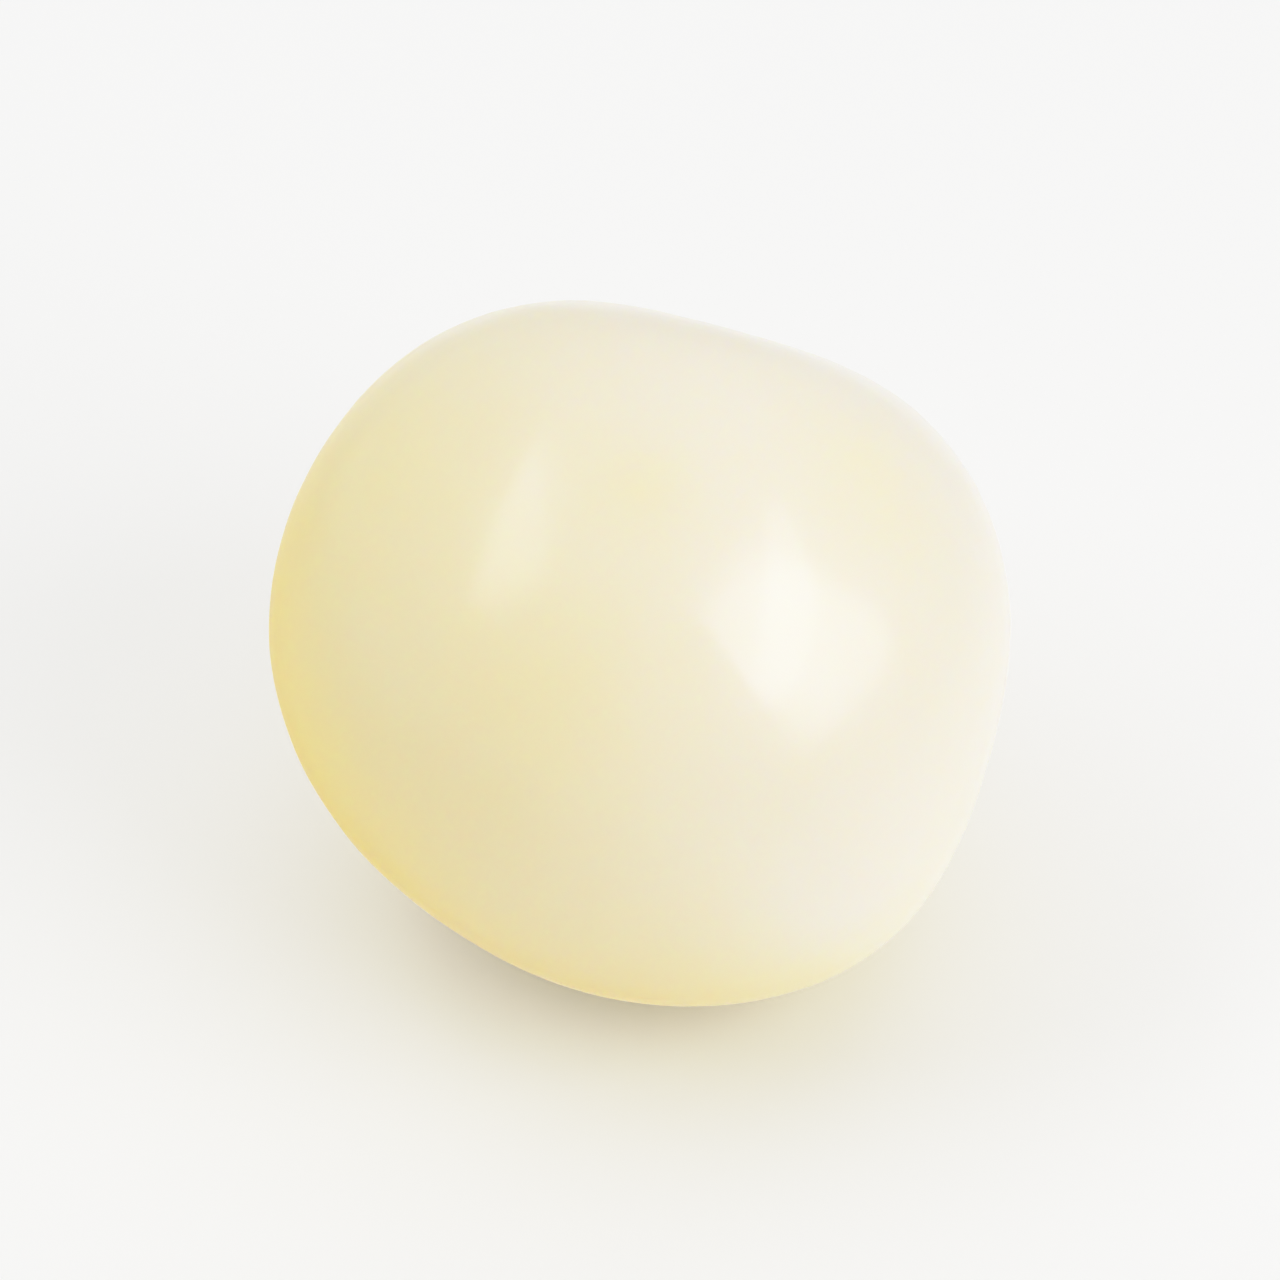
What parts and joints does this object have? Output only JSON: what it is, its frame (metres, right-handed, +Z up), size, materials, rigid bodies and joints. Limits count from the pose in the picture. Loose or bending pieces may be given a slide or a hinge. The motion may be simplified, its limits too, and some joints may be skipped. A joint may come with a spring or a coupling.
{
  "type": "chewy sour ball candy",
  "caption": "Single round chewy candy ball with a smooth waxy shell, uneven pressed flats and a small flat spot to rest on.",
  "frame": {"origin": "on the surface the candy rests on, under the middle of its bounding box", "axes": "+Z up, +X along the widest way across the ball, to the right as pictured; the picture looks along +Y and down"},
  "size_m": [0.017, 0.0168, 0.0164],
  "materials": {
    "candy_shell": "gloss"
  },
  "bodies": {
    "root": {"ball": "candy_shell"}
  },
  "joints": []
}
